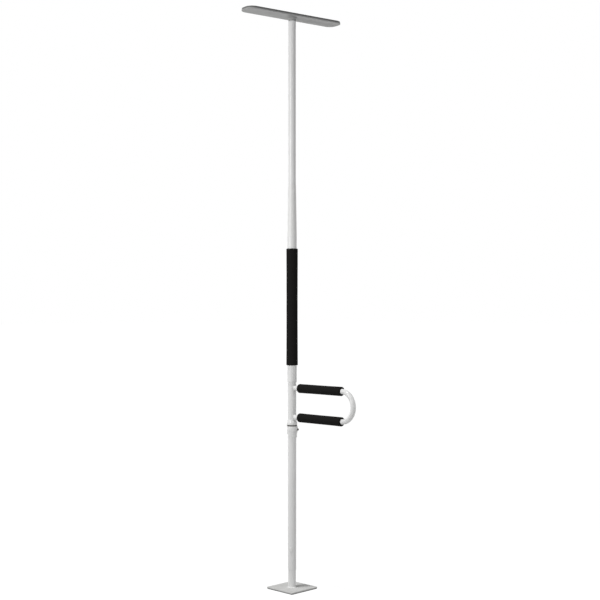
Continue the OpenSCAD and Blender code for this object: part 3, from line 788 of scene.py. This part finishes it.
root_weld = weld_bead(GRIP_TUBE_OD / 2, STUB_R, STUB_BEAD_R, STUB_BEAD_RIPPLES)[..., [2, 1, 0]]
stub_z = (low[2] + high[2]) / 2
stub_grids = [outward(grid, HEIGHT_LOCK_AZIMUTH, stub_z) for grid in (stub, root_weld)]
make_piece("height_lock_boss_coated", stub_grids, "column", "white_coat", ["height_lock_boss"])

# %% [markdown]
# ## Foam grips
#
# Three black foam sleeves: a long one on the pole and one on each bar of the handle. Foam is
# pushed on over the tube, so it is a little fuller at its ends than in the middle, its ends are
# rounded and its skin is never quite true. A plain cylinder would look like plastic; here the
# lathe outline gets a waist and the radius a slow, shallow wander round and along the sleeve.


# %% Foam grips
FOAM_END_R, FOAM_MOUTH_R, FOAM_STEP, FOAM_SKIN = 3, 0.6, 4, 0.7


def foam_sleeve(outer_r, inner_r, length, waist, seed, wander=0.12, around=72):
    """Sleeve along Z, with t going from 0 to 1 along it.

    Its radius is outer - waist * (1 - (2t - 1)^2) + wander * slow waves, less so towards the bore.
    """
    corners = [(outer_r, 0), (outer_r, length), (inner_r, length), (inner_r, 0)]
    outline = soften(corners, [FOAM_END_R, FOAM_END_R, FOAM_MOUTH_R, FOAM_MOUTH_R], steps=8)
    walked = np.concatenate([[0], np.cumsum(np.linalg.norm(np.diff(outline, axis=0), axis=1))])
    stops = np.unique(np.concatenate([walked, np.arange(0, walked[-1], FOAM_STEP)]))
    outline = np.stack([np.interp(stops, walked, outline[:, i]) for i in (0, 1)], axis=-1)
    radius, t = outline[:, 0, None], outline[:, 1, None] / length
    angle = full_turn(around)[None, :]
    # Two and three lobes round the sleeve, which twist as they go along it.
    waves = (np.sin(2 * angle + seed + 3 * t) * np.sin(5.3 * t * TURN + seed)
             + np.sin(3 * angle - 2 * seed + 9 * t)) / 2
    on_skin = np.clip((radius - inner_r - FOAM_SKIN) / (outer_r - inner_r - FOAM_SKIN), 0, 1)
    change = on_skin * (wander * waves - waist * (1 - (2 * t - 1) ** 2))
    scale = 1 + change / np.maximum(radius, 1)
    return lathe(outline, around) * np.stack([scale, scale, np.ones_like(scale)], axis=-1)


POLE_SWELL, POLE_WAIST = 0.3, 0.8
HAND_SWELL, HAND_WAIST = 0.1, 0.3
low, high = span("pole_grip")
size = high - low
foam = foam_sleeve(size[0] / 2 + POLE_SWELL, GRIP_TUBE_OD / 2 + FIT, size[2], POLE_WAIST, seed=1.0)
foam = foam + (0, 0, low[2])
pole_grip = make_piece("pole_grip_foam", [foam], "column", "black_foam", ["pole_grip"])
for node, seed in (("upper_hand_grip", 2.0), ("lower_hand_grip", 4.0)):
    low, high = span(node)
    size, grip_z = high - low, (low[2] + high[2]) / 2
    foam = foam_sleeve(size[2] / 2 + HAND_SWELL, BAR_R + FIT, size[0], HAND_WAIST, seed)
    laid = np.stack([low[0] + foam[..., 2], foam[..., 1], grip_z - foam[..., 0]], axis=-1)
    grip = make_piece(node + "_foam", [laid], "handle", "black_foam", [node])

# %% [markdown]
# ## Ceiling boss
#
# Under the ceiling plate the swivel boss flares out in a hollow curve, in the plate's grey coat,
# whose grey is partly paint and partly painted shade under the plate. A cone would be easier to
# turn, but the curve shows as a soft shadow under the plate. It is a turned outline whose inner
# corner is a quarter circle, from the tube's width out to the lip.

# %% Ceiling boss
SPIGOT_R, BOSS_R, BOSS_LIP, BOSS_CHAMFER = 8.05, 21.5, 3, 0.6
low, high = span("ceiling_boss")
neck_r = TOP_OD / 2
flare = BOSS_R - neck_r
swing = quarter_turn(12)
hollow_r = neck_r + flare * (1 - np.cos(swing))
hollow_z = high[2] - BOSS_LIP - flare * (1 - np.sin(swing))
boss_r = np.concatenate([[SPIGOT_R, neck_r - BOSS_CHAMFER, neck_r], hollow_r, [BOSS_R, SPIGOT_R]])
boss_z = np.concatenate([[low[2], low[2], low[2] + BOSS_CHAMFER], hollow_z, [high[2], high[2]]])
boss = lathe(np.stack([boss_r, boss_z], axis=-1))
# The boss takes the grey coat: partly its own paint, partly painted shade under the plate.
make_piece("ceiling_boss_coated", [boss], "ceiling_head", "grey_coat", ["ceiling_boss"], sharp=40)
